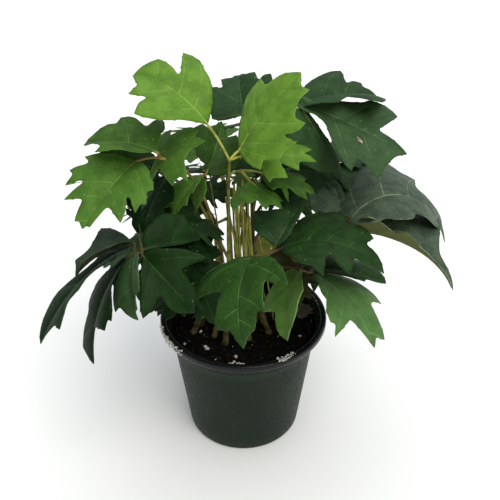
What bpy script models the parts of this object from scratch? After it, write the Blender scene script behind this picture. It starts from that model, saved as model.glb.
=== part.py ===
# Potted grape ivy: a clump of thin shoots in a round nursery pot, with leaves of three lobed leaflets.
# Sizes below are in millimetres and are turned to metres where meshes are made.
# Headings: 0 is +X (right), 90 is +Y (back), 180 is -X (left), 270 is -Y (front). Pitch is up from level.
# The origin is the middle of the pot's flat underside, and +Z is up.

import math
import random

import bmesh
import bpy
from mathutils import Vector
from mathutils.geometry import delaunay_2d_cdt

MM = 0.001
GAP = 0.3                # clearance between solids that rest on each other

# pot, a thin moulded nursery pot with a small outward lip
POT_HEIGHT = 92.0
LIP_RADIUS = 57.0
LIP_DEPTH = 4.2
LIP_WIDTH = 4.2
WALL = 1.6
SHOULDER_DROP = 14.0     # from the rim down to the moulded step
SHOULDER_STEP = 0.9
BASE_RADIUS = 40.0
BASE_ROUNDING = 2.0
FLOOR = 2.4
CHANNEL_HEIGHT = 2.0     # the drained channel is lifted off the ground
CHANNEL_INNER = 21.0
CHANNEL_OUTER = 33.5
DRAIN_COUNT = 6
DRAIN_RADIUS = 3.6
POT_SIDES = 40

# soil
SOIL_TOP = 84.0
SOIL_SIDES = 36

# shoots
FOOT_HEIGHT = SOIL_TOP + GAP
FLARE = 1.35             # the foot is this much wider than the stem above it
FLARE_HEIGHT = 4.0
CLUMP_CENTRE = (-3.0, 0.0)
LIMB_SIDES = 6
LIMB_RINGS = 6
TWIG_SIDES = 4
STALK_SIDES = 3
PETIOLE_RADIUS = 0.95
STALK_RADIUS = 0.75
PETIOLE_ARCH = 0.16      # how far a petiole's bend rises, as a share of its length
PETIOLE_ROOT = 0.6       # its width where it starts inside the stem, as a share of the rest
JOINT_RADIUS = 1.6       # the small knob where a leaf's three stalks meet
STRAIGHT_STALK = 4.0     # a stalk shorter than this runs straight into its blade

# leaflets
BLADE_THICKNESS = 0.9
STALK_SUNK = 0.16        # share of the blade's length that its stalk runs in under the midrib
STALK_UNDER = 0.55       # its end lies this share of the thickness below the blade's middle
MIDRIB_STATIONS = (0.2, 0.47, 0.76)
LOBE_JITTER = 0.04
PLAIN_LENGTH = 37.0      # a blade shorter than this has straight edges between its lobes
EDGE_DROOP = 0.45        # how much the margins hang, for leaflets of any size

# Half a leaflet as shares of its length: the tips of its three lobes, from the stalk outwards.
HALVES = {
    "even": ((0.22, 0.46), (0.54, 0.57), (0.83, 0.34)),
    "late": ((0.30, 0.50), (0.65, 0.54), (0.86, 0.32)),
    "broad": ((0.10, 0.52), (0.52, 0.63), (0.82, 0.38)),
    "fan": ((0.38, 0.50), (0.71, 0.57), (0.93, 0.26)),
    "wide": ((0.04, 0.54), (0.40, 0.64), (0.70, 0.50)),
    "narrow": ((0.26, 0.30), (0.60, 0.40), (0.86, 0.25)),
    "curled": ((0.25, 0.15), (0.55, 0.20), (0.84, 0.14)),
}
# Each notch lies this far past the lobe tip before it, and this share of that lobe's width from the midrib.
NOTCHES = ((0.12, 0.78), (-0.07, 0.50), (-0.05, 0.46))


def direction(heading, pitch):
    h, p = math.radians(heading), math.radians(pitch)
    return Vector((math.cos(h) * math.cos(p), math.sin(h) * math.cos(p), math.sin(p)))


def bezier(a, b, c, t):
    """A point on the curve from a to c that bends towards b."""
    return a * (1 - t) ** 2 + b * 2 * t * (1 - t) + c * t ** 2


def blade(heading, pitch, roll, length, start, droop=28.0, fold=10.0, halves=("even", "even")):
    """One leaflet: its chord, how far its right side is rolled down, and where it starts from the joint."""
    return dict(heading=heading, pitch=pitch, roll=roll, length=length, start=start, droop=droop, fold=fold,
                halves=halves)


def leaf(at, blades, fork=0.6, seed=1):
    """Three leaflets that meet at a joint. fork is where the petiole leaves the stem, as a share of it."""
    return dict(at=at, blades=blades, fork=fork, seed=seed)


def spread_leaf(at, heading, pitch, length, seed, fork=0.5):
    """A leaf by rule: the side leaflets open to both sides of the end one and hang a little more."""
    rng = random.Random(seed)
    blades = []
    for turn, share, stalk, halves in ((0, 1.0, 9, ("even", "even")), (1, 0.86, 4, ("broad", "narrow")),
                                       (-1, 0.86, 4, ("narrow", "broad"))):
        way = heading + turn * (66 + rng.uniform(-8, 8))
        fall = pitch - abs(turn) * rng.uniform(2, 12)
        start = tuple(direction(way, fall + 22) * stalk)
        blades.append(blade(way, fall, turn * rng.uniform(2, 12), share * length, start,
                            30 + rng.uniform(-8, 8), 12 + rng.uniform(-6, 6), halves))
    return leaf(at, blades, fork, seed)


def ring_leaf(heading, distance, height, length, seed, fork=0.5):
    """A leaf by rule, placed round the clump. The lower it is, the more it hangs."""
    at = Vector((*CLUMP_CENTRE, height)) + direction(heading, 0) * distance
    return spread_leaf(tuple(at), heading, -8 - 0.32 * max(200 - height, 0), length, seed, fork)


def shoot(heading, foot, tip, height, radius, leaves, bend=None):
    """A limb and its foliage: the limb's foot and tip lie on one ray from the clump's middle.

    bend is the point that the stem in the foliage leans towards, where it isn't straight up."""
    return dict(heading=heading, foot=foot, tip=tip, height=height, radius=radius, leaves=leaves, bend=bend)


SHOOTS = {
    "lime": shoot(250, 27, 17, 150, 1.9, [
        leaf((-7, -30, 218), [
            blade(153, 24, -34, 50, (-10, -1, 20), 28, 26, ("late", "late")),
            blade(17, 49, 9, 54, (5, 2, 5), 26, 8, ("late", "late")),
            blade(339, 1, 12, 34, (16, 6, 1), 25, 10)], seed=1),
        leaf((-1, -22, 208), [
            blade(317, -16, -5, 27, (4, -6, -5), 24, -7),
            blade(356, -22, 5, 34, (12, 4, -3), 26, 8),
            blade(106, -60, 2, 16, (2, 8, -4), 30, 4)], 0.82, seed=2)]),
    "left_light": shoot(190, 27, 14, 140, 1.6, [
        leaf((-44, -35, 222), [
            blade(228, -31, -16, 48, (-11, -5, 0), 30, 16, ("even", "late")),
            blade(165, 0, -13, 43, (-2, -7, 6), 22, 20, ("narrow", "broad")),
            blade(51, -8, 67, 34, (-2, 4, 1), 27, -11)], seed=3),
        leaf((-23, -18, 203), [
            blade(72, 33, 40, 38, (1, -2, 2), 40, 22, ("even", "broad")),
            blade(247, -64, 5, 20, (0, -3, 0), 23, 13, ("narrow", "narrow")),
            blade(225, -44, 14, 26, (-1, -2, 2), 36, 18)], 0.6, seed=5)], bend=(-19, -13, 205)),
    "left_mid": shoot(226, 24, 16, 142, 1.6, [
        leaf((-44, -14, 199), [
            blade(234, -46, 23, 36, (0, -3, 3), 21, 2),
            blade(176, 10, 0, 40, (-4, 1, 3)),
            blade(110, -30, 0, 26, (-1, 4, 0))], seed=4),
        leaf((-41, -30, 172), [
            blade(22, -20, 5, 30, (4, -2, 5)),
            blade(13, -22, 20, 28, (3, -12, 0)),
            blade(140, -20, 0, 30, (-3, 5, 1))], 0.4, seed=6),
        ring_leaf(192, 49, 153, 31, 71, 0.25)]),
    "left_low": shoot(203, 34, 24, 118, 2.0, [
        leaf((-59, -58, 177), [
            blade(216, -33, 32, 72, (1, 1, 2), 65, 2, ("narrow", "narrow")),
            blade(188, -25, 7, 38, (1, 4, 3), 42, 35),
            blade(247, -46, 46, 59, (-5, -2, -3), 37, 12, ("narrow", "narrow"))], seed=7),
        leaf((-54, -64, 180), [
            blade(314, -22, 37, 45, (1, 0, -1), 21, -12, ("broad", "even")),
            blade(269, -55, 50, 36, (-1, -3, 0), 41, 12),
            blade(31, 1, 44, 34, (1, 6, 0), 27, 34)], 0.9, seed=8),
        leaf((-28, -44, 146), [
            blade(259, -8, 10, 38, (-2, -5, 1), 24, 8),
            blade(301, -49, 13, 32, (2, 5, -6), 32, 6),
            blade(205, -22, 0, 30, (-4, 0, -1))], 0.35, seed=9)]),
    "front": shoot(287, 22, 14, 138, 1.8, [
        leaf((13, -56, 172), [
            blade(263, -26, 30, 54, (-6, -1, 0), 32, 24),
            blade(347, -5, 3, 58, (9, 8, -2), 38, 22, ("late", "even")),
            blade(60, 20, 10, 42, (5, 10, 0), 30, 15)], seed=10),
        leaf((38, -46, 155), [
            blade(321, -37, -15, 57, (3, 1, -1), 39, 14, ("fan", "even")),
            blade(256, -40, 48, 43, (-6, -3, 3), 33, 16),
            blade(354, -7, -31, 43, (3, 5, -1), 31, 23)], 0.8, seed=11)]),
    "right": shoot(325, 25, 11, 142, 1.8, [
        leaf((60, -25, 171), [
            blade(10, -13, 24, 71, (2, 6, 0), 88, 12, ("wide", "narrow")),
            blade(334, -21, -14, 69, (3, -1, 1), 34, 34, ("even", "curled")),
            blade(105, 33, -9, 34, (0, 5, 2), 33, 16)], seed=12),
        leaf((34, -10, 138), [
            blade(338, -23, 6, 32, (4, 6, -4), 24, 16),
            blade(40, -14, 0, 30, (2, 3, 1)),
            blade(270, -40, 0, 24, (0, -4, -1))], 0.35, seed=13)]),
    "upper_right": shoot(15, 24, 9, 152, 1.8, [
        leaf((37, 10, 233), [
            blade(344, -20, 20, 63, (3, -3, 0), 19, 6),
            blade(2, 3, -1, 51, (-3, 5, 1), 42, 31, ("broad", "narrow")),
            blade(333, -57, 4, 47, (-1, -3, 1), 29, 0, ("even", "narrow"))], seed=14),
        ring_leaf(32, 61, 198, 47, 73, 0.55)]),
    "top_back": shoot(95, 22, 10, 150, 1.7, [
        leaf((2, 22, 223), [
            blade(98, 28, -15, 34, (-1, -2, 2), 45, 20),
            blade(131, -29, 0, 20, (-4, 0, -4)),
            blade(35, 54, 11, 29, (2, 8, -1), 26, 5)], seed=16),
        ring_leaf(82, 52, 182, 50, 17, 0.55)]),
    "back_right": shoot(50, 26, 13, 146, 1.8, [
        ring_leaf(38, 67, 173, 50, 8),
        ring_leaf(67, 73, 148, 51, 60, 0.6),
        ring_leaf(24, 51, 127, 42, 50, 0.3)]),
    "back": shoot(115, 27, 14, 144, 1.9, [
        ring_leaf(104, 64, 196, 54, 57),
        ring_leaf(106, 70, 161, 49, 29, 0.6),
        ring_leaf(130, 66, 101, 36, 37, 0.2)]),
    "back_left": shoot(152, 28, 13, 140, 1.8, [
        ring_leaf(146, 56, 181, 44, 51),
        ring_leaf(135, 64, 146, 42, 1, 0.6),
        ring_leaf(168, 51, 134, 38, 66, 0.3)]),
}


def clear_scene():
    for obj in list(bpy.data.objects):
        bpy.data.objects.remove(obj, do_unlink=True)


def material(name, colour, roughness):
    made = bpy.data.materials.new(name)
    made.use_nodes = True
    shader = made.node_tree.nodes["Principled BSDF"]
    shader.inputs["Base Color"].default_value = (*colour, 1.0)
    shader.inputs["Roughness"].default_value = roughness
    shader.inputs["Metallic"].default_value = 0.0
    return made


def add_object(name, bm, finish, collection=None):
    """A new object from a bmesh that is in millimetres."""
    bmesh.ops.scale(bm, vec=(MM, MM, MM), verts=bm.verts)
    bmesh.ops.recalc_face_normals(bm, faces=bm.faces)
    mesh = bpy.data.meshes.new(name)
    bm.to_mesh(mesh)
    bm.free()
    mesh.materials.append(finish)
    obj = bpy.data.objects.new(name, mesh)
    (collection or bpy.context.scene.collection).objects.link(obj)
    return obj


def turned(profile, sides):
    """A closed solid turned about Z from a profile of (radius, height) that starts and ends on the axis."""
    bm = bmesh.new()
    rings = []
    for radius, height in profile:
        if radius == 0:
            rings.append([bm.verts.new((0, 0, height))])
            continue
        steps = (2 * math.pi * k / sides for k in range(sides))
        rings.append([bm.verts.new((radius * math.cos(a), radius * math.sin(a), height)) for a in steps])
    for low, high in zip(rings, rings[1:]):
        for k in range(sides):
            corners = [low[k % len(low)], low[(k + 1) % len(low)], high[(k + 1) % len(high)], high[k % len(high)]]
            bm.faces.new(list(dict.fromkeys(corners)))
    return bm


def wall_radius(height):
    """The pot's outer wall, which widens evenly from the base to the step below the lip."""
    top = LIP_RADIUS - LIP_WIDTH
    return BASE_RADIUS + (top - BASE_RADIUS) * height / POT_HEIGHT


def make_pot(finish):
    step = POT_HEIGHT - SHOULDER_DROP
    under_lip = POT_HEIGHT - LIP_DEPTH
    inside_floor = CHANNEL_HEIGHT + FLOOR
    profile = [
        (0, 0), (CHANNEL_INNER, 0), (CHANNEL_INNER + 1.5, CHANNEL_HEIGHT), (CHANNEL_OUTER - 1.5, CHANNEL_HEIGHT),
        (CHANNEL_OUTER, 0), (BASE_RADIUS - BASE_ROUNDING, 0), (wall_radius(BASE_ROUNDING), BASE_ROUNDING),
        (wall_radius(step) - SHOULDER_STEP, step), (wall_radius(step), step + 1.2),
        (wall_radius(under_lip), under_lip), (LIP_RADIUS - 0.8, under_lip), (LIP_RADIUS, under_lip + 1.5),
        (LIP_RADIUS, POT_HEIGHT - 1.2), (LIP_RADIUS - 1.2, POT_HEIGHT), (wall_radius(POT_HEIGHT) - WALL, POT_HEIGHT),
        (wall_radius(step) - SHOULDER_STEP - WALL, step), (wall_radius(inside_floor) - WALL, inside_floor),
        (0, inside_floor),
    ]
    pot = add_object("pot", turned(profile, POT_SIDES), finish)
    pot.data.shade_smooth()
    pot.data.set_sharp_from_angle(angle=math.radians(35))
    drains = bpy.data.collections.new("drain_cutters")
    bpy.context.scene.collection.children.link(drains)
    middle = (CHANNEL_INNER + CHANNEL_OUTER) / 2
    for k in range(DRAIN_COUNT):
        bm = bmesh.new()
        bmesh.ops.create_cone(bm, cap_ends=True, segments=8, radius1=DRAIN_RADIUS, radius2=DRAIN_RADIUS, depth=12)
        place = direction(360 * (k + 0.5) / DRAIN_COUNT, 0) * middle
        bmesh.ops.translate(bm, vec=place + Vector((0, 0, inside_floor / 2)), verts=bm.verts)
        cutter = add_object(f"drain_cutter_{k + 1}", bm, finish, drains)
        cutter.hide_render = True
        cutter.display_type = "WIRE"
    cut = pot.modifiers.new("drain_holes", "BOOLEAN")
    cut.operation = "DIFFERENCE"
    cut.operand_type = "COLLECTION"
    cut.collection = drains
    cut.solver = "EXACT"
    return pot


def make_soil(finish):
    low = CHANNEL_HEIGHT + FLOOR + GAP
    step = POT_HEIGHT - SHOULDER_DROP
    inside = WALL + GAP + 0.1
    profile = [
        (0, low), (wall_radius(low) - inside, low), (wall_radius(step) - SHOULDER_STEP - inside, step),
        (wall_radius(step) - SHOULDER_STEP - inside, SOIL_TOP), (0, SOIL_TOP),
    ]
    return add_object("soil", turned(profile, SOIL_SIDES), finish)


def tube(points, radii, sides):
    """A closed tube through the points, with flat ends."""
    bm = bmesh.new()
    rings = []
    side = None
    for k, point in enumerate(points):
        before, after = points[max(k - 1, 0)], points[min(k + 1, len(points) - 1)]
        along = (after - before).normalized()
        if side is None:
            side = along.orthogonal().normalized()
        side = (side - along * side.dot(along)).normalized()
        across = along.cross(side)
        turns = (2 * math.pi * j / sides for j in range(sides))
        rings.append([bm.verts.new(point + (side * math.cos(a) + across * math.sin(a)) * radii[k]) for a in turns])
    for low, high in zip(rings, rings[1:]):
        for j in range(sides):
            bm.faces.new((low[j], low[(j + 1) % sides], high[(j + 1) % sides], high[j]))
    bm.faces.new(list(reversed(rings[0])))
    bm.faces.new(rings[-1])
    return bm


def limb_points(rows):
    """The limb's middle line, from its flat foot on the soil to its tip, leaning in to the clump's middle."""
    centre = Vector((*CLUMP_CENTRE, 0))
    foot = centre + direction(rows["heading"], 0) * rows["foot"] + Vector((0, 0, FOOT_HEIGHT))
    tip = centre + direction(rows["heading"], 0) * rows["tip"] + Vector((0, 0, rows["height"]))
    bend = Vector((tip.x, tip.y, foot.z + 0.5 * (tip.z - foot.z)))
    return [bezier(foot, bend, tip, k / LIMB_RINGS) for k in range(LIMB_RINGS + 1)]


def make_limb(name, rows, finish):
    points = limb_points(rows)
    above_foot = points[0] + (points[1] - points[0]).normalized() * FLARE_HEIGHT
    points.insert(1, above_foot)
    last = len(points) - 1
    radii = [rows["radius"] * (1 - 0.25 * k / last) for k in range(last + 1)]
    radii[0] *= FLARE
    bm = tube(points, radii, LIMB_SIDES)
    for vert in bm.verts:     # the foot is cut level with the soil
        if vert.co.z < FOOT_HEIGHT + 0.6 * FLARE_HEIGHT:
            vert.co.z = FOOT_HEIGHT
    limb = add_object(f"stem_{name}", bm, finish)
    limb.data.shade_smooth()
    return limb


def half_outline(name, side, plain, rng):
    """One margin from the base to the tip, without either end: side is +1 for the right and -1 for the left."""
    lobes = [Vector((u + rng.uniform(-0.5, 0.5) * LOBE_JITTER, v * (1 + rng.uniform(-1, 1) * LOBE_JITTER)))
             for u, v in HALVES[name]]
    margin = [Vector((0.2 * lobes[0].x, 0.6 * lobes[0].y))]
    for k, (lobe, (past, depth)) in enumerate(zip(lobes, NOTCHES)):
        after = lobes[k + 1] if k < 2 else Vector((1, 0))
        notch = Vector((lobe.x + past, depth * lobe.y))
        bulge = notch.lerp(after, 0.5) + Vector((0.0, 0.055))
        margin += [lobe, notch] if plain else [lobe, notch, bulge]
    return [Vector((p.x, side * p.y)) for p in margin]


def leaflet_outline(halves, plain, rng):
    """The whole flat outline in order: base, right margin, tip, left margin."""
    left, right = halves
    right = half_outline(right, 1, plain, rng)
    left = half_outline(left, -1, plain, rng)
    return [Vector((0, 0))] + right + [Vector((1, 0))] + list(reversed(left))


def blade_axes(spec):
    """Along the chord, to the right, and out of the upper face."""
    along = direction(spec["heading"], spec["pitch"])
    level = along.cross(Vector((0, 0, 1))).normalized()
    up = level.cross(along)
    roll = math.radians(spec["roll"])
    return along, level * math.cos(roll) - up * math.sin(roll), up * math.cos(roll) + level * math.sin(roll)


def blade_point(spec, base, u, v, lift=0.0):
    """Where the flat point (u, v) of a leaflet goes: its midrib is an arc over the chord, folded along it."""
    along, right, out = blade_axes(spec)
    bend = math.radians(spec["droop"])
    arc = spec["length"] * (bend / 2) / math.sin(bend / 2)
    radius = arc / bend
    angle = bend / 2 - bend * u
    forward = radius * (math.sin(bend / 2) - math.sin(angle))
    rise = radius * (math.cos(angle) - math.cos(bend / 2))
    normal = out * math.cos(angle) - along * math.sin(angle)
    fold = math.radians(spec["fold"])
    across = v * arc
    height = abs(across) * math.sin(fold) - EDGE_DROOP * across * across / arc + lift
    return base + along * forward + out * rise + right * across * math.cos(fold) + normal * height


def blade_solid(spec, base, seed):
    """A leaflet as a closed thin solid, lobed, drooping and folded."""
    outline = leaflet_outline(spec["halves"], spec["length"] < PLAIN_LENGTH, random.Random(seed))
    rim = len(outline)
    flat = outline + [Vector((u, 0)) for u in MIDRIB_STATIONS]
    edges = [(k, (k + 1) % rim) for k in range(rim)]
    spine = [0] + list(range(rim, len(flat))) + [rim // 2]
    edges += list(zip(spine, spine[1:]))
    verts, _, faces, _, _, _ = delaunay_2d_cdt(flat, edges, [], 1, 1e-5)
    bm = bmesh.new()
    half = BLADE_THICKNESS / 2
    top = [bm.verts.new(blade_point(spec, base, p.x, p.y, half)) for p in verts]
    under = [bm.verts.new(blade_point(spec, base, p.x, p.y, -half)) for p in verts]
    for face in faces:
        bm.faces.new([top[k] for k in face])
        bm.faces.new([under[k] for k in reversed(face)])
    for k in range(rim):
        j = (k + 1) % rim
        bm.faces.new((top[k], under[k], under[j], top[j]))
    return bm


def knob(place):
    """The swelling at a leaf's joint, where its stalks end."""
    bm = bmesh.new()
    bmesh.ops.create_icosphere(bm, subdivisions=1, radius=JOINT_RADIUS)
    bmesh.ops.translate(bm, vec=place, verts=bm.verts)
    return bm


def stalk_length(spec):
    """How far a leaflet starts from its leaf's joint."""
    return Vector(spec["start"]).length


def stem_point(line, share):
    """A point that share of the way along a line of points."""
    place = share * (len(line) - 1)
    k = min(int(place), len(line) - 2)
    return line[k].lerp(line[k + 1], place - k)


def foliage_solids(name, rows):
    """The stem, petioles, stalks and blades of one shoot's foliage, each as (name, bmesh)."""
    limb = limb_points(rows)
    aim = (limb[-1] - limb[-2]).normalized()
    start = limb[-1] + aim * GAP
    top = Vector(rows["leaves"][0]["at"])
    bend = Vector(rows["bend"]) if rows["bend"] else start + aim * 0.55 * (top - start).length
    stem = [bezier(start, bend, top, k / 6) for k in range(7)]
    thick = 0.75 * rows["radius"]
    solids = [(f"{name}_stem", tube(stem, [thick + (PETIOLE_RADIUS - thick) * k / 6 for k in range(7)], 5))]
    for number, part in enumerate(rows["leaves"], 1):
        meet = Vector(part["at"])
        if number > 1:
            fork = stem_point(stem, part["fork"])
            out = meet - fork
            lift = fork + out * 0.5 + Vector((0, 0, PETIOLE_ARCH * out.length))
            petiole = [bezier(fork, lift, meet, k / 4) for k in range(5)]
            widths = [PETIOLE_ROOT * PETIOLE_RADIUS] + [PETIOLE_RADIUS] * 4
            solids.append((f"{name}_petiole_{number}", tube(petiole, widths, TWIG_SIDES)))
        solids.append((f"{name}_joint_{number}", knob(meet)))
        for k, spec in enumerate(part["blades"]):
            base = meet + Vector(spec["start"])
            inner = blade_point(spec, base, STALK_SUNK, 0, -STALK_UNDER * BLADE_THICKNESS)
            stalk = [meet, base, inner] if stalk_length(spec) > STRAIGHT_STALK else [meet, inner]
            solids.append((f"{name}_stalk_{number}_{k}", tube(stalk, [STALK_RADIUS] * len(stalk), STALK_SIDES)))
            solids.append((f"{name}_blade_{number}_{k}", blade_solid(spec, base, 10 * part["seed"] + k)))
    return solids


def make_foliage(name, rows, finish):
    """One shoot's foliage, joined into one closed body."""
    solids = foliage_solids(name, rows)
    others = bpy.data.collections.new(f"{name}_pieces")
    bpy.context.scene.collection.children.link(others)
    whole = add_object(f"foliage_{name}", solids[0][1], finish)
    for piece_name, bm in solids[1:]:
        add_object(piece_name, bm, finish, others)
    join = whole.modifiers.new("join", "BOOLEAN")
    join.operation = "UNION"
    join.operand_type = "COLLECTION"
    join.collection = others
    join.solver = "EXACT"
    graph = bpy.context.evaluated_depsgraph_get()
    joined = bpy.data.meshes.new_from_object(whole.evaluated_get(graph))
    whole.modifiers.clear()
    whole.data = joined
    for obj in list(others.objects):
        bpy.data.objects.remove(obj, do_unlink=True)
    bpy.data.collections.remove(others)
    return whole


def main():
    clear_scene()
    plastic = material("pot_plastic", (0.030, 0.042, 0.036), 0.45)
    peat = material("soil", (0.012, 0.008, 0.006), 0.95)
    bark = material("stem", (0.22, 0.20, 0.06), 0.6)
    green = material("leaf", (0.05, 0.13, 0.03), 0.45)
    make_pot(plastic)
    make_soil(peat)
    for name, rows in SHOOTS.items():
        make_limb(name, rows, bark)
        make_foliage(name, rows, green)


if __name__ == "__main__":
    main()
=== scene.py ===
import bpy
import random
import numpy as np
from math import cos, sin, radians, pi, sqrt
from mathutils import Vector, Matrix, noise
from mathutils.geometry import delaunay_2d_cdt


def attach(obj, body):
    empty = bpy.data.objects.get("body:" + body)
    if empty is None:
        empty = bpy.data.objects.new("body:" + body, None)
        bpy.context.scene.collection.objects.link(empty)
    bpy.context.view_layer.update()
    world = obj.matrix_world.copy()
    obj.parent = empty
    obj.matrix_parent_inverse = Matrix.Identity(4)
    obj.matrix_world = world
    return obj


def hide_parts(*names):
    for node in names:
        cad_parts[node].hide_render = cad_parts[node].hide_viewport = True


# Potted grape ivy: shoots, petioles and lobed leaflets over a nursery pot, laid on the CAD frame.
# Lengths in the dictionaries are in millimetres and become metres when a mesh is made.

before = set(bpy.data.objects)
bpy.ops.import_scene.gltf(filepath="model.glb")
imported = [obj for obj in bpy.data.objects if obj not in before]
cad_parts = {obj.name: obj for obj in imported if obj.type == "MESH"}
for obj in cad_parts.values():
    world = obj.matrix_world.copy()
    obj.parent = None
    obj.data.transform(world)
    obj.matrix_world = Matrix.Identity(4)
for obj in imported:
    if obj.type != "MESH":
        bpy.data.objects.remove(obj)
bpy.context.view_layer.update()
scene = bpy.context.scene
mm = 0.001
zUp = Vector((0.0, 0.0, 1.0))


def toLinear(code):
    # "#rrggbb" as seen on screen to linear red, green, blue, alpha
    parts = [int(code[k:k + 2], 16) / 255 for k in (1, 3, 5)]
    return tuple(c / 12.92 if c < 0.04045 else ((c + 0.055) / 1.055) ** 2.4 for c in parts) + (1.0,)


def addNode(tree, kind, settings=None, links=None):
    node = tree.nodes.new(kind)
    for name, value in (settings or {}).items():
        if isinstance(name, str) and hasattr(node, name):
            setattr(node, name, value)
        else:
            node.inputs[name].default_value = value
    for name, source in (links or {}).items():
        tree.links.new(source, node.inputs[name])
    return node


def makeMaterial(name, colour, second, blotch, rough, grain, depth, specular=0.5, strength=0.5, veins=None):
    # colour, a second one for blotches and their size in mm, roughness range, grain size and relief in mm;
    # veins is the colour of a leaf's small veins
    material = bpy.data.materials.new(name)
    material.use_nodes = True
    tree = material.node_tree
    tree.nodes.clear()
    place = {"Vector": addNode(tree, "ShaderNodeTexCoord").outputs["Object"]}

    def texture(kind, size, **settings):
        return addNode(tree, "ShaderNodeTex" + kind, dict(settings, Scale=1 / (size * mm)), place)

    def remap(source, low, high, start, end):
        limits = {"From Min": low, "From Max": high, "To Min": start, "To Max": end}
        return addNode(tree, "ShaderNodeMapRange", limits, {"Value": source}).outputs["Result"]

    def over(code, share, below):
        settings = {"data_type": "RGBA", 7: toLinear(code)}
        return addNode(tree, "ShaderNodeMix", settings, {0: share, 6: below}).outputs[2]

    patches = texture("Noise", blotch, Detail=3.0).outputs["Fac"]
    height = fine = texture("Noise", grain, Detail=2.0).outputs["Fac"]
    pair = {"data_type": "RGBA", 6: toLinear(colour), 7: toLinear(second)}
    tone = addNode(tree, "ShaderNodeMix", pair, {0: remap(patches, 0.40, 0.60, 0.0, 1.0)}).outputs[2]
    if veins:
        cells = texture("Voronoi", net["cell"], feature="DISTANCE_TO_EDGE").outputs["Distance"]
        line = remap(cells, 0.0, net["width"], net["show"], 0.0)
        specks = texture("Voronoi", net["speck"]).outputs["Distance"]
        tone = over(veins, line, tone)
        tone = over(net["dustColour"], remap(specks, *net["dustSize"], net["dust"], 0.0), tone)
        height = addNode(tree, "ShaderNodeMath", {"operation": "SUBTRACT"}, {0: fine, 1: line}).outputs["Value"]
    relief = {"Strength": strength, "Distance": depth * mm}
    bump = addNode(tree, "ShaderNodeBump", relief, {"Height": height}).outputs["Normal"]
    surface = addNode(tree, "ShaderNodeBsdfPrincipled", {"IOR": 1.45, "Specular IOR Level": specular},
                      {"Base Color": tone, "Roughness": remap(fine, 0.3, 0.7, *rough), "Normal": bump})
    addNode(tree, "ShaderNodeOutputMaterial", None, {"Surface": surface.outputs["BSDF"]})
    return material


# Leaf tints, dealt out by leaf: blade, its darker blotches, vein, underside
tints = {
    "lime": ("#648c2d", "#547b26", "#84a650", "#7b9a50"),
    "light": ("#507729", "#446a23", "#6f9150", "#647f48"),
    "mid": ("#40651e", "#33521a", "#5f8042", "#4f683a"),
    "moss": ("#2f4b16", "#263f13", "#54733c", "#48603a"),
    "dark": ("#2e4926", "#26401f", "#4e6841", "#48603a"),
    "sea": ("#39542f", "#304a28", "#5d7550", "#4a6038"),
    "pine": ("#284522", "#203a1c", "#4b6642", "#42583a"),
    "fern": ("#2c4e1a", "#234214", "#5f8048", "#3d5330"),
    "deep": ("#213e16", "#193011", "#3f5c32", "#3d5330"),
    "ink": ("#1a3512", "#142b0e", "#365329", "#33482a"),
    # night and slate: partly the leaves' own dark green, partly painted shade for leaves deep in the clump
    "night": ("#12290f", "#0d200b", "#2a4221", "#26361f"),
    "slate": ("#142d14", "#0f230f", "#3a5236", "#3c4a2c"),
    "shade": ("#354434", "#263326", "#4e5c4c", "#4a5636"),
    # sage and olive: partly the front leaves' own fresh green, partly painted light, lighter than the shade
    # they lie in
    "sage": ("#50753a", "#446834", "#7d9868", "#6a8050"),
    "olive": ("#587f34", "#4c702d", "#86a060", "#6a8050"),
    # grey: partly the leaves' own grey green, partly painted sheen from the light
    "grey": ("#4a5a46", "#38473a", "#8c9c7c", "#62683a"),
    "bronze": ("#40422a", "#34341e", "#565a38", "#4c4a2c"),
    # yellow: partly the small leaf's own yellow green, partly painted back light, lighter than the shade it
    # hangs in
    "yellow": ("#a8aa4c", "#8f9640", "#b8b870", "#8a9640"),
    "dry": ("#62584a", "#463c32", "#8c8274", "#5a5044"),
}
leafLook = {"blotch": 8, "grain": 0.7, "depth": 0.14}
leafShine = {"night": 0.03, "slate": 0.03}    # the leaves with painted shade in their tint (night, slate) are dull, all others 0.12
# small veins and dust specks: sizes of their cells in mm, the rest in shares
net = {"cell": 2.6, "width": 0.10, "show": 0.12, "speck": 7.0, "dust": 0.22, "dustSize": (0.06, 0.11),
       "dustColour": "#a8b09c"}


def leafMaterials(tint):
    blade, dark, vein, under = tints[tint]
    look = dict(leafLook, specular=leafShine.get(tint, 0.12))
    return [
        # waxy upper skin of a living leaf: satin, netted with small veins, slightly dusty
        makeMaterial("leaf_cuticle_" + tint, blade, dark, rough=(0.42, 0.58), veins=vein, **look),
        # midrib and side veins, paler and a little rougher than the blade
        makeMaterial("leaf_vein_" + tint, vein, blade, rough=(0.5, 0.6), **look),
        # downy underside: matte and paler
        makeMaterial("leaf_underside_" + tint, under, under, rough=(0.65, 0.8), veins=blade, **look),
    ]


leafSlots = [m for tint in tints for m in leafMaterials(tint)]
tintIndex = {tint: 3 * k for k, tint in enumerate(tints)}
print("scene: leaf materials ready")


def addMesh(name, points, faces, materials, slots=None, flat=None):
    # points in millimetres
    mesh = bpy.data.meshes.new(name)
    mesh.from_pydata([(x * mm, y * mm, z * mm) for x, y, z in points], [], faces)
    for material in materials:
        mesh.materials.append(material)
    if slots is not None:
        mesh.polygons.foreach_set("material_index", slots)
    smooth = [True] * len(faces) if flat is None else [not f for f in flat]
    mesh.polygons.foreach_set("use_smooth", smooth)
    mesh.update()
    piece = bpy.data.objects.new(name, mesh)
    scene.collection.objects.link(piece)
    return piece


def direction(heading, pitch):
    h, p = radians(heading), radians(pitch)
    return Vector((cos(h) * cos(p), sin(h) * cos(p), sin(p)))


def bezier(a, b, c, t):
    return a * (1 - t) ** 2 + b * 2 * t * (1 - t) + c * t * t


def arch(a, b, c, steps):
    return [bezier(a, b, c, k / steps) for k in range(steps + 1)]


def cubic(a, b, c, d, t):
    return a * (1 - t) ** 3 + b * 3 * t * (1 - t) ** 2 + c * 3 * t * t * (1 - t) + d * t ** 3


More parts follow.
